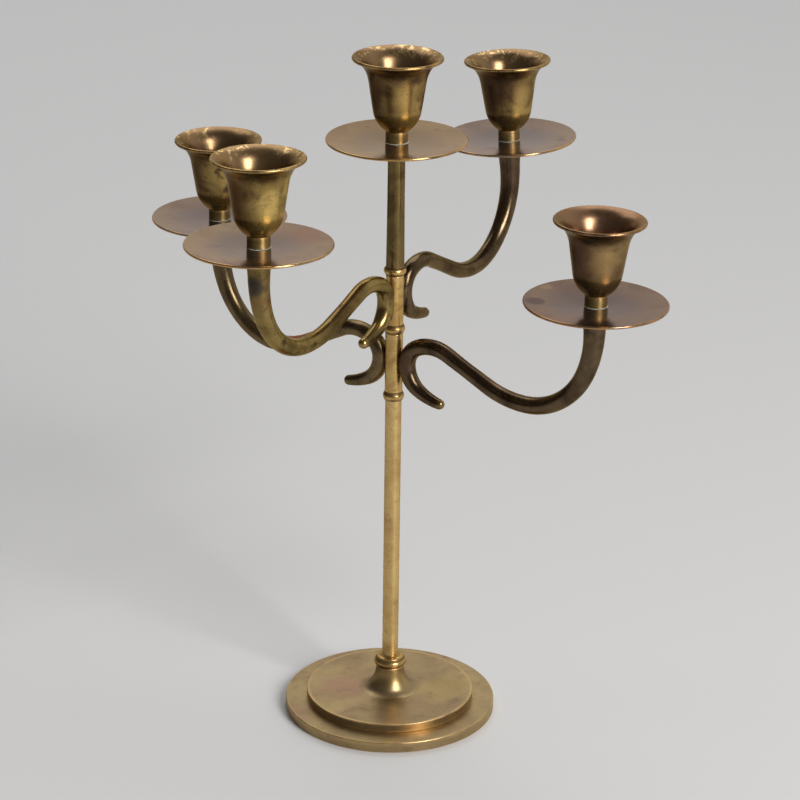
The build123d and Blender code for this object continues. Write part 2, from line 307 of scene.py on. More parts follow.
def aged_brass(name, bare, film, deep, flush, roughness, blotch_mm, film_range=(0.36, 0.68),
               deep_range=(0.56, 0.80), pit_share=0.6, pit_level=0.66, line_share=0.06,
               edge="#cfae76", tint="#e8d8bc", metal=0.9, marks=()):
    """Old unlacquered brass: bare metal, a brown oxide film that thickens in clouds, a darker
    film over that, a reddish flush, dark pits, and bare edges where hands and cloths reach.

    bare, film, deep and flush are those four colours, and blotch_mm is the size of a cloud.
    metal is a little under 1 where the film is thick enough to scatter light.  Each of marks
    is a function (tree, colour, field) that lays more on top of the colour."""
    material = bpy.data.materials.new(name)
    material.use_nodes = True
    tree = material.node_tree
    tree.nodes.clear()
    place = node(tree, "ShaderNodeTexCoord").outputs["Object"]
    grain = node(tree, "ShaderNodeAttribute", attribute_name="grain").outputs["Vector"]
    wear = node(tree, "ShaderNodeAttribute", attribute_name="wear").outputs["Fac"]
    grime = node(tree, "ShaderNodeAttribute", attribute_name="grime").outputs["Fac"]
    zone = node(tree, "ShaderNodeAttribute", attribute_name="zone").outputs["Fac"]

    clouds = node(tree, "ShaderNodeTexNoise", {
        "Vector": place, "Scale": per(blotch_mm), "Detail": 5.0, "Roughness": 0.55,
        "Distortion": 0.6,
    }).outputs["Fac"]
    second = node(tree, "ShaderNodeTexNoise", {
        "Vector": place, "Scale": per(blotch_mm * 0.45), "Detail": 4.0, "Roughness": 0.6,
        "Distortion": 0.3,
    }).outputs["Fac"]
    slow = node(tree, "ShaderNodeTexNoise", {
        "Vector": place, "W": 3.7, "Scale": per(blotch_mm * 1.7), "Detail": 3.0, "Roughness": 0.5,
    }, noise_dimensions="4D").outputs["Fac"]
    fine = node(tree, "ShaderNodeTexNoise", {
        "Vector": place, "Scale": per(PIT_MM), "Detail": 3.0, "Roughness": 0.65,
    }).outputs["Fac"]
    lines = node(tree, "ShaderNodeTexNoise", {
        "Vector": grain, "Scale": 1 / LINE_MM, "Detail": 3.0, "Roughness": 0.6,
    }).outputs["Fac"]

    film_cover = node(tree, "ShaderNodeMapRange", {
        "Value": clouds, "From Min": film_range[0], "From Max": film_range[1],
    }, interpolation_type="SMOOTHSTEP").outputs[0]
    deep_cover = node(tree, "ShaderNodeMapRange", {
        "Value": second, "From Min": deep_range[0], "From Max": deep_range[1],
    }, interpolation_type="SMOOTHSTEP").outputs[0]
    flush_cover = node(tree, "ShaderNodeMapRange", {
        "Value": slow, "From Min": 0.50, "From Max": 0.78,
    }, interpolation_type="SMOOTHSTEP").outputs[0]
    pits = node(tree, "ShaderNodeMapRange", {
        "Value": fine, "From Min": pit_level, "From Max": pit_level + 0.07, "To Max": pit_share,
    }, interpolation_type="SMOOTHSTEP").outputs[0]
    rubbed = node(tree, "ShaderNodeMapRange", {
        "Value": second, "From Min": 0.34, "From Max": 0.62, "To Min": 0.1, "To Max": 0.9,
    }).outputs[0]
    wear = node(tree, "ShaderNodeMath", {0: wear, 1: rubbed}, operation="MULTIPLY").outputs[0]
    gloss = node(tree, "ShaderNodeMapRange", {
        "Value": second, "From Min": 0.3, "From Max": 0.7,
        "To Min": roughness - GLOSS_DRIFT, "To Max": roughness + GLOSS_DRIFT,
    }).outputs[0]

    colour = node(tree, "ShaderNodeMix", {0: film_cover, 6: linear(bare), 7: linear(film)},
                  data_type="RGBA").outputs[2]
    colour = node(tree, "ShaderNodeMix", {0: flush_cover, 6: colour, 7: linear(flush)},
                  data_type="RGBA").outputs[2]
    colour = node(tree, "ShaderNodeMix", {0: deep_cover, 6: colour, 7: linear(deep)},
                  data_type="RGBA").outputs[2]
    field = {"place": place, "zone": zone, "clouds": clouds, "second": second}
    for mark in marks:
        colour = mark(tree, colour, field)
    colour = node(tree, "ShaderNodeMix", {0: wear, 6: colour, 7: linear(edge)},
                  data_type="RGBA").outputs[2]
    streaks = node(tree, "ShaderNodeMapRange", {
        "Value": lines, "From Min": 0.3, "From Max": 0.7,
        "To Min": 1 - line_share, "To Max": 1 + line_share,
    }).outputs[0]
    colour = node(tree, "ShaderNodeVectorMath", {0: colour, 1: streaks},
                  operation="MULTIPLY").outputs[0]
    for cover, dirt in ((pits, "#33261a"), (grime, "#33271a")):
        colour = node(tree, "ShaderNodeMix", {0: cover, 6: colour, 7: linear(dirt)},
                      data_type="RGBA").outputs[2]

    # Dirt is rougher than metal, and the films and marks stand up a few hundredths of a millimetre.
    for cover, extra in ((pits, 0.3), (grime, 0.25)):
        gloss = node(tree, "ShaderNodeMath", {0: cover, 1: extra, 2: gloss},
                     operation="MULTIPLY_ADD").outputs[0]
    relief = fine
    for layer, share in ((lines, 0.35), (second, 3.0)):
        relief = node(tree, "ShaderNodeMath", {0: layer, 1: share, 2: relief},
                      operation="MULTIPLY_ADD").outputs[0]
    bump = node(tree, "ShaderNodeBump", {
        "Height": relief, "Strength": 0.08, "Distance": 0.06 * MM,
    }).outputs[0]
    surface = node(tree, "ShaderNodeBsdfPrincipled", {
        "Base Color": colour, "Metallic": metal, "Roughness": gloss, "Normal": bump,
        "Specular Tint": linear(tint),
    })
    node(tree, "ShaderNodeOutputMaterial", {"Surface": surface.outputs[0]})
    return material


def heat_bloom(tone):
    """Heat and wax have turned the middle of a pan a greyer colour than its outer part.

    The share falls smoothly with distance from the middle, pushed about by the clouds."""
    def mark(tree, colour, field):
        drift = node(tree, "ShaderNodeMath", {0: field["clouds"], 1: 0.9, 2: field["zone"]},
                     operation="MULTIPLY_ADD").outputs[0]
        middle = node(tree, "ShaderNodeMapRange", {
            "Value": drift, "From Min": 0.80, "From Max": 1.25, "To Min": 0.75, "To Max": 0.0,
        }, interpolation_type="SMOOTHSTEP").outputs[0]
        return node(tree, "ShaderNodeMix", {0: middle, 6: colour, 7: linear(tone)},
                    data_type="RGBA").outputs[2]
    return mark


def smudge(near, across, up, size, tone, share, waver=0.3, fade=0.3):
    """One patch of another tone: an oval about a place in the rest pose, wavering at its edge.

    across and up are millimetres from the foot of the CAD node named near, size the oval's
    three half-widths, share how much of the tone shows, and fade the part of the half-width
    over which the patch thins out."""
    def mark(tree, colour, field):
        middle = foot_of(near) + np.array([across[0], across[1], up]) * MM
        away = node(tree, "ShaderNodeVectorMath", {0: field["place"], 1: tuple(middle)},
                    operation="SUBTRACT").outputs[0]
        inverse = tuple(1 / (half * MM) for half in size)
        scaled = node(tree, "ShaderNodeVectorMath", {0: away, 1: inverse},
                      operation="MULTIPLY").outputs[0]
        far = node(tree, "ShaderNodeVectorMath", {0: scaled}, operation="LENGTH").outputs["Value"]
        far = node(tree, "ShaderNodeMath", {0: field["second"], 1: waver, 2: far},
                   operation="MULTIPLY_ADD").outputs[0]
        cover = node(tree, "ShaderNodeMapRange", {
            "Value": far, "From Min": 1.05 - fade + waver / 2, "From Max": 1.05 + waver / 2,
            "To Min": share, "To Max": 0.0,
        }, interpolation_type="SMOOTHSTEP").outputs[0]
        return node(tree, "ShaderNodeMix", {0: cover, 6: colour, 7: linear(tone)},
                    data_type="RGBA").outputs[2]
    return mark


def cup_bands(bowl_tone, inside_tone):
    """Outside, the bowl is rubbed more golden than the body above it, with a tide line between,
    and painted shade darkens the hollow under the lip.  Inside, the film is bronze.

    zone runs from 0 at the foot to 1 at the lip outside, and on to 2 at the foot inside."""
    def mark(tree, colour, field):
        tide = node(tree, "ShaderNodeMath", {0: field["second"], 1: 0.08, 2: field["zone"]},
                    operation="MULTIPLY_ADD").outputs[0]
        bowl = node(tree, "ShaderNodeMapRange", {
            "Value": tide, "From Min": 0.35, "From Max": 0.38, "To Min": 0.6, "To Max": 0.0,
        }, interpolation_type="SMOOTHSTEP").outputs[0]
        colour = node(tree, "ShaderNodeMix", {0: bowl, 6: colour, 7: linear(bowl_tone)},
                      data_type="RGBA").outputs[2]
        # painted shade: the hollow under the lip is darkened towards a dark brown
        shade_under_lip = node(tree, "ShaderNodeMapRange", {
            "Value": tide, "From Min": 0.74, "From Max": 0.90, "To Max": 0.5,
        }, interpolation_type="SMOOTHSTEP").outputs[0]
        colour = node(tree, "ShaderNodeMix", {0: shade_under_lip, 6: colour, 7: linear("#4a3826")},
                      data_type="RGBA").outputs[2]
        inside = node(tree, "ShaderNodeMapRange", {
            "Value": field["zone"], "From Min": 0.97, "From Max": 1.02, "To Max": 0.85,
        }).outputs[0]
        return node(tree, "ShaderNodeMix", {0: inside, 6: colour, 7: linear(inside_tone)},
                    data_type="RGBA").outputs[2]
    return mark


def scraped_lip(tree, colour, field):
    """Flecks of bright metal just inside the lip, where wax has been scraped off."""
    scraped = node(tree, "ShaderNodeTexNoise", {
        "Vector": field["place"], "Scale": per(3.6), "Detail": 3.0, "Roughness": 0.6,
        "Distortion": 1.2,
    }).outputs["Fac"]
    scraped = node(tree, "ShaderNodeMapRange", {
        "Value": scraped, "From Min": 0.56, "From Max": 0.585,
    }, interpolation_type="SMOOTHSTEP").outputs[0]
    near_lip = node(tree, "ShaderNodeMapRange", {
        "Value": field["zone"], "From Min": 1.04, "From Max": 1.26, "To Min": 0.95, "To Max": 0.0,
    }).outputs[0]
    within = node(tree, "ShaderNodeMath", {0: field["zone"], 1: 1.0},
                  operation="GREATER_THAN").outputs[0]
    patch = node(tree, "ShaderNodeMapRange", {
        "Value": field["clouds"], "From Min": 0.44, "From Max": 0.52,
    }).outputs[0]
    share = scraped
    for limit in (near_lip, within, patch):
        share = node(tree, "ShaderNodeMath", {0: share, 1: limit}, operation="MULTIPLY").outputs[0]
    return node(tree, "ShaderNodeMix", {0: share, 6: colour, 7: linear("#d8bc84")},
                data_type="RGBA").outputs[2]


# In each finish below come its four colours, its roughness and the size of its clouds in mm.
# Brass drawn into tube and handled bright: pale gold, with thin brown film and fine dark pits.
stem_brass = aged_brass(
    "rubbed_drawn_brass", "#d8ba7c", "#bf9c62", "#94754a", "#c09a68", 0.27, 14,
    pit_share=0.85, line_share=0.10)
hub_brass = aged_brass(
    "rubbed_hub_brass", "#cfae6c", "#b08c54", "#80643c", "#b28a58", 0.28, 10,
    pit_share=0.9, line_share=0.10)
# Turned brass rings: polished on the bead, dark in the grooves.
ring_brass = aged_brass(
    "turned_ring_brass", "#cba968", "#a5834c", "#755a36", "#a8804e", 0.26, 8)
# The upper stem was seldom handled, so its film is olive brown.
upper_brass = aged_brass(
    "olive_drawn_brass", "#76643e", "#57482d", "#3b3122", "#5e4530", 0.28, 16)
# Cast brass under a dark brown oxide, worn golden at the tips, with a painted yellow-green
# highlight near the elbow of one arm, an inky stain on another and a coppery patch on a third.
dark_arm_brass = aged_brass(
    "dark_brown_cast_brass", "#6b5a44", "#44382c", "#332a22", "#543e32", 0.25, 16,
    edge="#b0935f", metal=0.97,
    # painted yellow-green highlight near the elbow of the right arm
    marks=[smudge("right_pan", (0.6, -5.1), -27, (3, 3, 5), "#a59658", 0.7, 0.6, 0.6)])
olive_arm_brass = aged_brass(
    "olive_gold_cast_brass", "#96804e", "#6a5a36", "#463a28", "#704f34", 0.25, 15,
    edge="#b79a68", deep_range=(0.52, 0.74), metal=0.97,
    marks=[smudge("front_pan", (-1.6, -1.6), -12, (5, 5, 8), "#302f34", 0.85, 0.6)])
coppery_arm_brass = aged_brass(
    "coppery_cast_brass", "#786648", "#504432", "#3a3025", "#5d4434", 0.28, 18, edge="#b0925f",
    marks=[smudge("left_pan", (48, 0), -44, (14, 10, 12), "#a55c3e", 0.85, 0.5, 0.6)])
# Satin turned brass, dulled by years of wiping: warm brown, with a pinkish zone, an olive one
# and a golden boss.
base_brass = aged_brass(
    "satin_turned_brass", "#a9936a", "#927c5c", "#725e48", "#92745e", 0.35, 22,
    film_range=(0.30, 0.74), deep_range=(0.46, 0.90), pit_share=0.5, pit_level=0.64,
    tint="#f4ecdc",
    marks=[smudge("base_step", (-18, -14), 4, (16, 14, 12), "#9c7866", 0.65, 0.6, 0.8),
           smudge("base_step", (22, 14), 4, (14, 18, 12), "#a08a56", 0.5, 0.6, 0.8),
           smudge("base_step", (0, 0), 11, (11, 11, 9), "#a88e58", 0.8, 0.5, 0.5)])
# Spun sheet brass under candles: a thin glossy film that runs from olive brown to plum, with a
# nearly white tint at a glancing view.  One pan has a painted dark reflection and a pale bare
# patch.
brown_pan_brass = aged_brass(
    "olive_brown_spun_brass", "#a08a66", "#8d755a", "#78614b", "#917256", 0.16, 24,
    pit_share=0.2, edge="#c99e62", tint="#f6e8dc", marks=[heat_bloom("#80705f")])
rosy_pan_brass = aged_brass(
    "rosy_spun_brass", "#9f8a6d", "#8a7461", "#746055", "#90705c", 0.16, 26,
    pit_share=0.2, edge="#c99e62", tint="#f6e8e0", marks=[heat_bloom("#766d6c")])
grey_pan_brass = aged_brass(
    "mauve_spun_brass", "#938069", "#7f6d61", "#6c5b55", "#836a5c", 0.16, 26,
    pit_share=0.2, edge="#c99e62", tint="#f4e8e4", marks=[heat_bloom("#706b6e")])
plum_pan_brass = aged_brass(
    "plum_spun_brass", "#867260", "#746056", "#5d4d48", "#835f4c", 0.15, 24,
    pit_share=0.2, edge="#c0925c", tint="#f2e4de",
    marks=[heat_bloom("#666061"),
           # painted dark reflection on the right pan; the next patch is a pale bare one
           smudge("right_pan", (-20.2, -12.8), 2, (5.3, 5.6, 4), "#453a36", 0.8, 0.3, 0.4),
           smudge("right_pan", (-26.5, 5.5), 2, (2.8, 3.4, 4), "#a58a62", 0.65, 0.5, 0.5)])
# Spun cups: mottled film, with painted shade over a darker film on the side away from the window
# and a painted highlight over metal rubbed golden towards it, more golden on the bowl, bronze
# inside.
# Where each cup gets painted shade over a darker film and a painted highlight over rubbed golden
# metal, in mm from its pan's foot
PAINTED_SHADE_AND_DARK_FILM_SIDE = (-9.5, -14)
PAINTED_HIGHLIGHT_AND_RUBBED_SIDE = (10, -6)
brown_cup_brass = aged_brass(
    "mottled_brown_spun_brass", "#a0864f", "#6c5336", "#4a382b", "#754a34", 0.28, 15,
    film_range=(0.40, 0.60), deep_range=(0.50, 0.70), pit_share=0.45, edge="#b4945f",
    marks=[cup_bands("#a58c52", "#8c7052")]
    # painted shade over a darker film on the side away from the window
    + [smudge(near, PAINTED_SHADE_AND_DARK_FILM_SIDE, 25, (18, 18, 32), "#38251b", 0.95, 0.5, 0.8)
       for near in ("centre_pan", "back_pan", "left_pan")]
    # painted highlight over metal rubbed golden on the side towards the window
    + [smudge(near, PAINTED_HIGHLIGHT_AND_RUBBED_SIDE, 20, (8, 8, 19), "#c6a864", 0.6, 0.4, 0.9)
       for near in ("centre_pan", "back_pan")]
    + [scraped_lip])
red_cup_brass = aged_brass(
    "reddish_brown_spun_brass", "#88704c", "#694f3b", "#4c3a30", "#764c3c", 0.28, 16,
    film_range=(0.38, 0.62), deep_range=(0.54, 0.80), pit_share=0.45, edge="#a5805c",
    marks=[cup_bands("#7c6844", "#8a6a52"),
           # painted shade over a darker film away from the window, then a painted highlight over
           # rubbed metal towards it
           smudge("right_pan", PAINTED_SHADE_AND_DARK_FILM_SIDE, 25, (19, 19, 32), "#382720", 0.95, 0.4, 0.8),
           smudge("right_pan", PAINTED_HIGHLIGHT_AND_RUBBED_SIDE, 20, (8, 8, 20), "#a88c5a", 0.6, 0.3, 0.9)])
golden_cup_brass = aged_brass(
    "golden_olive_spun_brass", "#b2995c", "#826a3e", "#574330", "#855a3e", 0.28, 15,
    film_range=(0.42, 0.62), deep_range=(0.53, 0.72), pit_share=0.45, edge="#bf9f68",
    marks=[cup_bands("#b79d5a", "#8c7052"),
           # painted shade over a darker film away from the window, then a painted highlight over
           # rubbed metal towards it
           smudge("front_pan", PAINTED_SHADE_AND_DARK_FILM_SIDE, 24, (18, 18, 30), "#482a1c", 0.97, 0.4, 0.8),
           smudge("front_pan", PAINTED_HIGHLIGHT_AND_RUBBED_SIDE, 20, (8, 8, 19), "#d4b56a", 0.65, 0.4, 0.9),
           scraped_lip])
# Turned collars, satin and a little greenish.
collar_brass = aged_brass(
    "turned_collar_brass", "#a89462", "#89764c", "#63543a", "#856a46", 0.42, 7, tint="#f6f0e0")

PAN_FINISH = {"right": plum_pan_brass, "left": grey_pan_brass, "back": grey_pan_brass,
              "front": rosy_pan_brass, "centre": brown_pan_brass}
CUP_FINISH = {"right": red_cup_brass, "left": brown_cup_brass, "back": brown_cup_brass,
              "front": golden_cup_brass, "centre": brown_cup_brass}
ARM_FINISH = {"right": dark_arm_brass, "left": coppery_arm_brass, "back": dark_arm_brass,
              "front": olive_arm_brass}

# Chalky copper salts that creep out of a joint: pale, matt, greenish white.
crust = bpy.data.materials.new("pale_verdigris_crust")
crust.use_nodes = True
crust_tree = crust.node_tree
crust_noise = node(crust_tree, "ShaderNodeTexNoise", {
    "Vector": node(crust_tree, "ShaderNodeTexCoord").outputs["Object"],
    "Scale": per(1.6), "Detail": 3.0,
}).outputs["Fac"]
crust_share = node(crust_tree, "ShaderNodeMapRange", {
    "Value": crust_noise, "From Min": 0.34, "From Max": 0.58,
}).outputs[0]
crust_colour = node(crust_tree, "ShaderNodeMix", {
    0: crust_share, 6: linear("#756f60"), 7: linear("#a6b2ad"),
}, data_type="RGBA").outputs[2]
crust_shader = crust_tree.nodes["Principled BSDF"]
crust_tree.links.new(crust_colour, crust_shader.inputs["Base Color"])
crust_shader.inputs["Roughness"].default_value = 0.85

# Zinc-plated steel for the rod, nuts, washer and screws: grey and dull from handling.
steel = bpy.data.materials.new("dull_zinc_plate")
steel.use_nodes = True
steel_shader = steel.node_tree.nodes["Principled BSDF"]
steel_shader.inputs["Base Color"].default_value = linear("#8f8c84")
steel_shader.inputs["Metallic"].default_value = 1.0
steel_shader.inputs["Roughness"].default_value = 0.42


# ------------------------------------------------------------------ base

RECESS_RADIUS = 11            # the hollow under the base where the clamping nut sits
RECESS_ROOF = 1               # thickness of metal left above it


def make_base():
    """Two discs, one on the other; the upper one rises into the trumpet boss.

    The boss runs down from its neck in a hollow bend and out in a tighter one."""
    low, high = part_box("base_plate")
    radius, height = high[0] / MM, (high[2] - low[2]) / MM
    roof = height - RECESS_ROOF
    plate = rounded([
        (RECESS_RADIUS, 0, 0.2), (radius, 0, 0.3), (radius, height, 0.55),
        (BASE_BORE, height, 0.05), (BASE_BORE, roof, 0.05), (RECESS_RADIUS, roof, 0.2),
    ])
    lathe("base_plate_disc", plate, foot_of("base_plate"), base_brass, "stand",
          columns=288, replaces=["base_plate"])
    low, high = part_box("base_step")
    radius, neck, edge = high[0] / MM, 16.5, 0.45
    pen = Pen((6.55, neck - 0.4), -90, 0.5).bend(15.5, 37).bend(6.28, 53)
    pen.to(radius - edge, pen.at[1]).bend(edge, -90)
    pen.to(radius, 0.15).to(radius - 0.15, 0).to(BASE_BORE, 0).to(BASE_BORE, neck)
    pen.to(6.0, neck).bend(0.3, -70).to(6.5, neck - 0.4)
    lathe("base_step_disc", pen.points()[:-1], foot_of("base_step"), base_brass,
          "stand", columns=256, replaces=["base_step"])


# ------------------------------------------------------------------ stem

def make_foot_ring():
    """A full bead, a shallow crease, and a low lip whose dished top closes on the stem."""
    top = 5.5
    pen = Pen((6.0, 0), 0, 0.25).bend(1.3, 30).bend(1.95, 118).bend(0.6, -50)
    pen.run(0.35).bend(0.55, 90).to(4.7, top - 0.5).to(4.15, top).to(3.75, top)
    pen.to(BORE, top).to(BORE, 0)
    lathe("foot_ring_bead", pen.points()[:-1], foot_of("foot_ring"), ring_brass,
          "stand", replaces=["foot_ring"])


RING_HEIGHT = 4.0


def make_ring(name, radius):
    """A rounded bead between two thin collars.

    A circular arch that bulges by b over a half-span h leaves the upright by 2 atan(b / h) and
    has a radius of h over the sine of that angle."""
    pen = Pen((4.15, 0), 0, 0.2).bend(0.18, 90).run(0.25)
    bulge = radius - pen.at[0]
    half = (RING_HEIGHT - 2 * pen.at[1]) / 2
    sweep = np.degrees(2 * np.arctan(bulge / half))
    pen.heading = np.radians(90 - sweep)
    pen.bend(half / np.sin(np.radians(sweep)), 2 * sweep)
    pen.heading = np.radians(90)
    pen.run(0.25).bend(0.18, 90).to(BORE, RING_HEIGHT).to(BORE, 0)
    lathe(name + "_bead", pen.points()[:-1], foot_of(name), ring_brass, "stand",
          replaces=[name])


def make_sleeve(name, radius, finish, body):
    """A plain drawn tube with lightly broken ends."""
    low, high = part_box(name)
    height = (high[2] - low[2]) / MM
    tube = rounded([
        (BORE, 0, 0.1), (radius, 0, 0.2), (radius, height, 0.2), (BORE, height, 0.1),
    ], 1.5)
    lathe(name + "_tube", tube, foot_of(name), finish, body, replaces=[name])


def make_upper_stem():
    """A sleeve that narrows to a waist and flares under the centre pan."""
    low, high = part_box("upper_stem")
    height = (high[2] - low[2]) / MM
    waist = 3.95
    pen = Pen((BORE, 0), 0, 1.2).to(4.1, 0).bend(0.1, 90)
    pen.to(waist, height - 24.5).to(waist, height - 6.0).bend(22.5, -17)
    pen.to(4.85, height).to(BORE, height)
    lathe("upper_stem_tube", pen.points(), foot_of("upper_stem"), upper_brass,
          "stand", replaces=["upper_stem"])


# ------------------------------------------------------------------ arms

# How far each arm has been knocked out of true: its turn about the stem in degrees, the rise
# and extra reach of its end in millimetres, and the lean of its end, in degrees, towards its
# own left and outwards.
KNOCKS = {
    "right": (1.2, 0.4, 1.2, 0.6, 0.4),
    "left": (-1.2, -2.6, -0.6, 0.4, 0.3),
    "back": (0.7, -1.2, 0.0, 2.6, -1.0),
    "front": (-0.8, 3.2, 0.4, -0.6, -0.7),
}
ARM_REACH = 105               # from the stem's axis to the middle of a pan
BEND_REACHES = (12, 82)       # the arm is bent between these distances from the axis
LEAN_HEIGHTS = (8, 42)        # the lean comes in between these heights above the hub contact
LEAN_PIVOT = 20               # height of the place the outer part leans about


def smooth_share(value, span):
    """0 below the span, 1 above it, and 3 t squared - 2 t cubed between."""
    share = np.clip((value - span[0]) / (span[1] - span[0]), 0, 1)
    return share * share * (3 - 2 * share)


def aim_of(side):
    """The direction of an arm in plan, as a unit vector."""
    aim = foot_of(side + "_pan")[:2]
    return aim / np.hypot(*aim)


def knocked(side, contact):
    """The bending of one arm, as a function on points in millimetres, arrays of (..., 3).

    A point's share grows smoothly from 0 at the stem to 1 at the pan with its reach along the
    arm.  The arm turns about the stem, its outer part rises and reaches out by that share, and
    what stands above the arm's last bend leans about the bend."""
    turn, rise, reach, left, out = KNOCKS[side]
    aim = aim_of(side)
    across = np.array([-aim[1], aim[0]])

    def bend(points):
        outwards, sideways = points[..., :2] @ aim, points[..., :2] @ across
        height = points[..., 2] - contact
        share = smooth_share(outwards, BEND_REACHES)
        above = smooth_share(height, LEAN_HEIGHTS)
        lean_out, lean_left = np.radians(out) * above, np.radians(left) * above
        lift = height - LEAN_PIVOT
        beyond = outwards - ARM_REACH
        new_out = outwards + reach * share + lift * np.sin(lean_out)
        new_side = sideways + lift * np.sin(lean_left)
        drop = beyond * np.sin(lean_out) + sideways * np.sin(lean_left)
        new_height = height + rise * share - drop
        spin = np.radians(turn) * share
        plan_out = new_out * np.cos(spin) - new_side * np.sin(spin)
        plan_side = new_out * np.sin(spin) + new_side * np.cos(spin)
        plan = plan_out[..., None] * aim + plan_side[..., None] * across
        return np.concatenate([plan, (contact + new_height)[..., None]], axis=-1)

    return bend


PAN_RISE = 48.3               # from the hub contact up to the underside of the pan
CONTACT_REACH = 7.6           # from the stem's axis to the centreline where the arm touches
TIP_RADIUS = 2.3
ARM_STEPS, ARM_COLUMNS = 400, 56
SMOOTHING_STEPS = 13
# Radius of the arm at distances along its centreline, from the pan to the tail's tip.
ARM_SIZES = ((0, 5.9), (4, 5.45), (11, 4.9), (20, 4.55), (30, 4.3), (45, 4.05), (65, 4.0),
             (105, 3.45), (140, 3.95), (152, 3.75), (172, 2.3))


def arm_path():
    """Centreline in the arm's own upright plane, from the pan to the tail's tip.

    It is drawn both ways from the hub: the tail curls down and out, and the other way the crook
    and the arch go over into a slope, a dip, and a rise to the pan.  Returns the distance along
    it and the (reach, height) of even steps, with more of them in the round tip."""
    start = (CONTACT_REACH, 0)
    tail = Pen(start, -90, 0.2).bend(13.4, 61).bend(33, 21).run(TIP_RADIUS).points()
    out = Pen(start, 90, 0.2).bend(10.3, -63.5).bend(19, -52).run(23.427)
    out.bend(43.9, 25.5).bend(32, 30).bend(36, 36).bend(47.5, 24)
    out = out.to(ARM_REACH, PAN_RISE).points()
    path = np.vstack([out[::-1], tail[1:]])
    along = np.concatenate([[0], np.cumsum(np.hypot(*np.diff(path, axis=0).T))])
    cap = along[-1] - TIP_RADIUS * (1 - np.cos(np.linspace(0, np.pi / 2, 14)))
    even = np.unique(np.concatenate([np.linspace(0, along[-1] - TIP_RADIUS, ARM_STEPS), cap]))
    return even, np.stack([np.interp(even, along, path[:, axis]) for axis in (0, 1)], 1)


def make_arm(side, contact, body, bend):
    """A cast rod of changing thickness along the centreline, its tail closed by a round tip.

    A point at angle a round the rod is centre + r (cos a * in-plane normal + sin a * sideways).
    r is read between the listed sizes and smoothed over a few steps, and near the tip it
    follows a quarter circle down to almost nothing."""
    along, path = arm_path()
    radius = np.interp(along, *np.transpose(ARM_SIZES))
    window = np.hanning(SMOOTHING_STEPS)
    window = window / window.sum()
    radius = np.convolve(np.pad(radius, len(window) // 2, "edge"), window, "valid")
    left = along[-1] - along
    radius *= np.sqrt(np.clip(1 - (1 - np.minimum(left / TIP_RADIUS, 1)) ** 2, 1e-4, 1))
    tangent = np.gradient(path, axis=0)
    tangent /= np.hypot(*tangent.T)[:, None]
    angle = np.linspace(0, FULL_TURN, ARM_COLUMNS, endpoint=False)
    across = radius[:, None] * np.cos(angle)
    reach = path[:, :1] - tangent[:, 1:] * across
    height = path[:, 1:] + tangent[:, :1] * across
    sideways = radius[:, None] * np.sin(angle)
    aim = aim_of(side)
    rings = np.stack([
        reach * aim[0] - sideways * aim[1],
        reach * aim[1] + sideways * aim[0],
        height + contact,
    ], axis=-1)
    grain = np.stack([
        along[:, None] * ROD_GRAIN_STRETCH + 0 * angle,
        ROD_GRAIN * np.cos(angle) + 0 * radius[:, None],
        ROD_GRAIN * np.sin(angle) + 0 * radius[:, None],
    ], axis=-1)
    tip = np.exp(-(left / 3.0) ** 2)
    wear = 0.7 * tip[:, None] + 0 * angle
    grime = 0 * wear
    zone = along[:, None] / along[-1] + 0 * angle
    add_piece(side + "_arm_casting", rings, False, grain, wear, grime, zone, ARM_FINISH[side],
              body, [side + "_arm"], bend)


# ------------------------------------------------------------------ pans, collars and cups

PAN_THICKNESS = 1.2
PAN_LAND = 6.5                # radius of the pan's flat middle
COLLAR_RADIUS, COLLAR_HEIGHT = 5.1, 5.4
CUP_FOOT = 5.2                # radius of the cup's flat foot
BOWL_TOP = (11.0, 9.3)        # radius and height where the cup's bowl meets its body
BOWL_BEND = (13.8054, 46.7764)    # radius and turn of the bowl, down to the foot
BODY_TOP = (13.04, 22.85)     # where the body starts to flare
BODY_SLOPE = 81.4383          # the body's slope in degrees, from the bowl's top to there
SOCKET_RADIUS = 11.1          # a clear fit for a 22 mm candle
SOCKET_BASE, SOCKET_TOP = 15.5, 22.5
LEDGE_RADIUS = 10.2           # the candle stands on the ring between this and the socket
FLOOR_HEIGHT, FLOOR_RADIUS = 2.1, 5.0
SCREW_HEAD = 2.4              # height of a screw's head
SCREW_SHANK = 2.0             # radius of its shank


def make_pan(side, body, seed, bend):
    """A thin spun dish: a flat middle, a slope up to the rim, and a rounded edge."""
    name = side + "_pan"
    low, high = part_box(name)
    radius, rise = (high[0] - low[0]) / 2 / MM, (high[2] - low[2]) / MM - PAN_THICKNESS
    dish = rounded([
        (BORE, 0, 0.1), (PAN_LAND, 0, 30), (radius, rise, 0.5),
        (radius, rise + PAN_THICKNESS, 0.55), (PAN_LAND, PAN_THICKNESS, 30),
        (BORE, PAN_THICKNESS, 0.1),
    ], 1.0)
    lathe(name + "_dish", dish, foot_of(name), PAN_FINISH[side], body,
          columns=224, zone=dish[:, 0] / radius, shift=sway(0.10, 3, seed), bend=bend,
          replaces=[name])


def make_collar(side, body, bend):
    """The spacer under a cup, and the crust that has crept out round its foot."""
    name = side + "_collar"
    sleeve = rounded([
        (BORE, 0, 0.1), (COLLAR_RADIUS, 0, 0.2), (COLLAR_RADIUS, COLLAR_HEIGHT, 0.15),
        (BORE, COLLAR_HEIGHT, 0.1),
    ], 0.4)
    lathe(name + "_sleeve", sleeve, foot_of(name), collar_brass, body,
          bend=bend, replaces=[name])
    bead = rounded([(4.95, -0.1, 0), (5.4, -0.1, 0.1), (5.2, 0.18, 0.1), (4.95, 0.32, 0)], 0.15)
    lathe(side + "_collar_crust", bead, foot_of(name), crust, body,
          shift=sway(0.1, 5, 31), bend=bend)


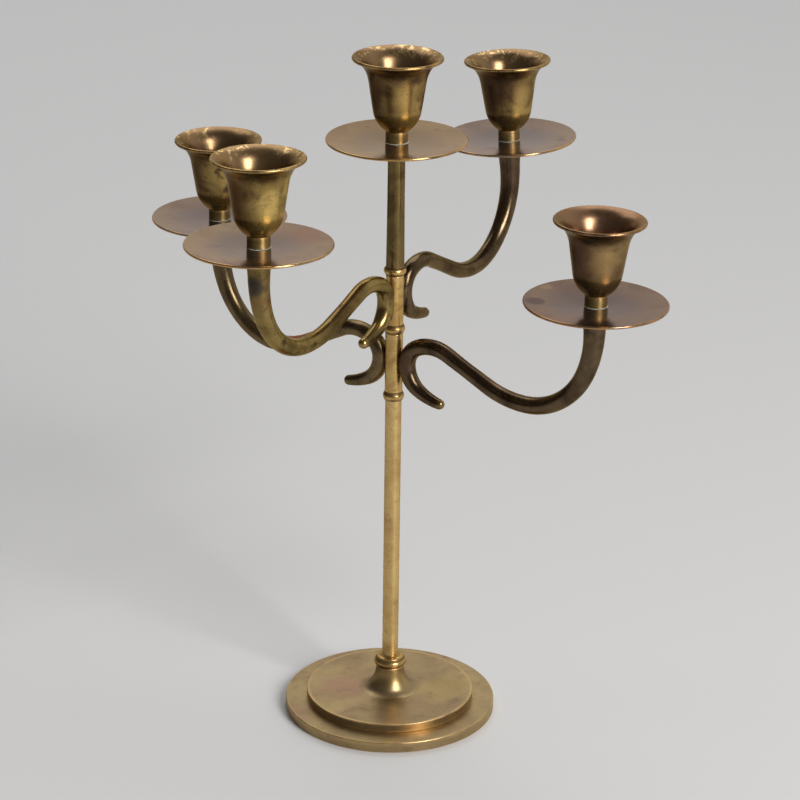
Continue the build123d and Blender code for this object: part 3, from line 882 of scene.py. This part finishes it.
def make_cup(side, body, seed, bend):
    """Bowl, nearly straight body and flared lip outside; flare, candle socket and floor inside.

    zone runs from 0 at the foot to 1 at the lip outside, and on to 2 at the foot inside."""
    name = side + "_cup"
    pen = Pen(BOWL_TOP, 180 + BODY_SLOPE, 0.5).bend(BOWL_BEND[0], -BOWL_BEND[1])
    bowl = pen.points()[::-1]
    pen = Pen(BOWL_TOP, BODY_SLOPE, 0.5).to(*BODY_TOP)
    pen.bend(16.0, -21.45).bend(9.0, -42).bend(0.75, 180).bend(10.5, 42).bend(17.5, 21.45)
    pen.to(SOCKET_RADIUS, SOCKET_TOP).to(SOCKET_RADIUS, SOCKET_BASE)
    pen.to(LEDGE_RADIUS, SOCKET_BASE).to(9.5, 9.3).to(7.9, 4.9).to(FLOOR_RADIUS, FLOOR_HEIGHT)
    pen.to(BORE, FLOOR_HEIGHT).to(BORE, 0).to(CUP_FOOT, 0)
    outline = np.concatenate([bowl, pen.points()[1:-1]])
    along = np.concatenate([[0], np.cumsum(np.hypot(*np.diff(outline, axis=0).T))])
    lip = along[np.argmax(outline[:, 1])]
    zone = np.where(along < lip, along / lip, 1 + (along - lip) / (along[-1] - lip))
    lathe(name + "_vessel", outline, foot_of(name), CUP_FINISH[side], body,
          columns=176, zone=zone, shift=sway(0.12, 4, seed), bend=bend, replaces=[name])


def make_screw(side, body, bend):
    """The flat-headed screw that holds cup, collar and pan to the arm.

    It is turned round a hair-thin hole, so that no face shrinks to a point."""
    low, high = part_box(side + "_screw")
    head, length = (high[0] - low[0]) / 2 / MM, (high[2] - low[2]) / MM
    neck, hair = length - SCREW_HEAD, 0.02
    stalk = rounded([
        (hair, 0, 0), (SCREW_SHANK, 0, 0.3), (SCREW_SHANK, neck, 0), (head, neck, 0.1),
        (head, length, 0.3), (hair, length, 0),
    ])
    lathe(side + "_screw_turned", stalk, foot_of(side + "_screw"), steel, body,
          columns=40, bend=bend, replaces=[side + "_screw"])


# ------------------------------------------------------------------ put it together

make_base()
make_foot_ring()
make_sleeve("lower_stem", 3.8, stem_brass, "stand")
make_sleeve("lower_hub", 4.1, hub_brass, "lower_arms")
make_sleeve("upper_hub", 4.1, hub_brass, "upper_arms")
make_ring("lower_ring", 4.95)
make_ring("middle_ring", 5.0)
make_ring("upper_ring", 5.2)
make_upper_stem()

LIGHTS = (("right", "lower_arms"), ("left", "lower_arms"), ("back", "upper_arms"),
          ("front", "upper_arms"), ("centre", "stand"))
for seed, (side, body) in enumerate(LIGHTS):
    bend = None
    if side != "centre":
        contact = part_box(side + "_pan")[0][2] / MM - PAN_RISE
        bend = knocked(side, contact)
        make_arm(side, contact, body, bend)
        make_screw(side, body, bend)
    make_pan(side, body, seed, bend)
    make_collar(side, body, bend)
    make_cup(side, body, seed + 10, bend)

for name in ("tie_rod", "base_nut", "base_washer", "top_nut"):
    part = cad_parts[name]
    part.data.materials.clear()
    part.data.materials.append(steel)


# ------------------------------------------------------------------ floor, light and camera

TURN = np.radians(35.9)       # the camera looks between the two pairs of arms


def from_camera_side(right, back, up):
    """A place given in metres to the camera's right, away from it, and up."""
    return Vector((right * np.cos(TURN) - back * np.sin(TURN),
                   right * np.sin(TURN) + back * np.cos(TURN), up))


def make_floor():
    """A plain pale table top, large enough to fill every view."""
    mesh = bpy.data.meshes.new("floor")
    size = 12.0
    corners = [(-size, -size, 0), (size, -size, 0), (size, size, 0), (-size, size, 0)]
    mesh.from_pydata(corners, [], [(0, 1, 2, 3)])
    floor = bpy.data.objects.new("floor", mesh)
    bpy.context.scene.collection.objects.link(floor)
    paint = bpy.data.materials.new("pale_matt_table")
    paint.use_nodes = True
    shader = paint.node_tree.nodes["Principled BSDF"]
    shader.inputs["Base Color"].default_value = linear("#cfcfcf")
    shader.inputs["Roughness"].default_value = 0.6
    mesh.materials.append(paint)


def area_light(name, place, aim, width, height, power, colour):
    """A soft panel that faces aim and isn't seen itself."""
    light = bpy.data.lights.new(name, "AREA")
    light.shape = "RECTANGLE"
    light.size = width
    light.size_y = height
    light.energy = power
    light.color = linear(colour)[:3]
    lamp = bpy.data.objects.new(name, light)
    lamp.location = place
    lamp.rotation_euler = (aim - place).to_track_quat("-Z", "Y").to_euler()
    bpy.context.scene.collection.objects.link(lamp)
    lamp.visible_camera = False


def make_light():
    """A tall window at the right in front, a panel over the far part of the table, and a room
    that is pale at the back and right and dim elsewhere.

    The room's tone follows the cosine of the angle between a direction and its pale side."""
    world = bpy.data.worlds.new("soft_room")
    world.use_nodes = True
    tree = world.node_tree
    tree.nodes.clear()
    facing = node(tree, "ShaderNodeTexCoord").outputs["Generated"]
    towards = from_camera_side(0.6, 1.0, 0.08).normalized()
    share = node(tree, "ShaderNodeVectorMath", {0: facing, 1: towards},
                 operation="DOT_PRODUCT").outputs["Value"]
    share = node(tree, "ShaderNodeMapRange", {
        "Value": share, "From Min": 0.0, "From Max": 0.8,
    }, interpolation_type="SMOOTHSTEP").outputs[0]
    room = node(tree, "ShaderNodeMix", {0: share, 6: linear("#4c4a47"), 7: linear("#dddcda")},
                data_type="RGBA").outputs[2]
    seen = node(tree, "ShaderNodeLightPath").outputs["Is Camera Ray"]
    room = node(tree, "ShaderNodeMix", {0: seen, 6: room, 7: linear("#cbcac8")},
                data_type="RGBA").outputs[2]
    glow = node(tree, "ShaderNodeBackground", {"Color": room, "Strength": 1.0})
    node(tree, "ShaderNodeOutputWorld", {"Surface": glow.outputs[0]})
    bpy.context.scene.world = world
    middle = Vector((0, 0, 0.17))
    area_light("window", from_camera_side(1.35, -1.55, 1.35), middle, 0.85, 1.4, 59, "#fffdfb")
    area_light("ceiling", from_camera_side(-0.4, 1.7, 2.5), from_camera_side(-0.4, 1.5, 0),
               2.6, 2.2, 33, "#f6f7fa")


def make_camera():
    """The lens, distance, height and tilt of the view, turned to stand between the arms."""
    pitch, yaw, roll = np.radians([21.715, 0.137, 0.8005])
    ahead = np.array([np.sin(yaw) * np.cos(pitch), np.cos(yaw) * np.cos(pitch), -np.sin(pitch)])
    right = np.array([np.cos(yaw), -np.sin(yaw), 0])
    up = np.cross(right, ahead)
    across = right * np.cos(roll) + up * np.sin(roll)
    upward = up * np.cos(roll) - right * np.sin(roll)
    eye = from_camera_side(0, -1.27517, 0.66544)
    rows = np.eye(4)
    rows[:3, 0], rows[:3, 1], rows[:3, 2] = across, upward, -ahead
    spin = Matrix.Rotation(TURN, 4, "Z")
    camera = bpy.data.objects.new("camera", bpy.data.cameras.new("camera"))
    camera.data.lens = 133.36
    camera.data.sensor_width = 36
    camera.data.clip_start, camera.data.clip_end = 0.1, 30
    camera.matrix_world = Matrix.Translation(eye) @ spin @ Matrix(rows.tolist())
    bpy.context.scene.collection.objects.link(camera)
    bpy.context.scene.camera = camera


make_floor()
make_light()
make_camera()
bpy.context.scene.view_settings.view_transform = "Standard"
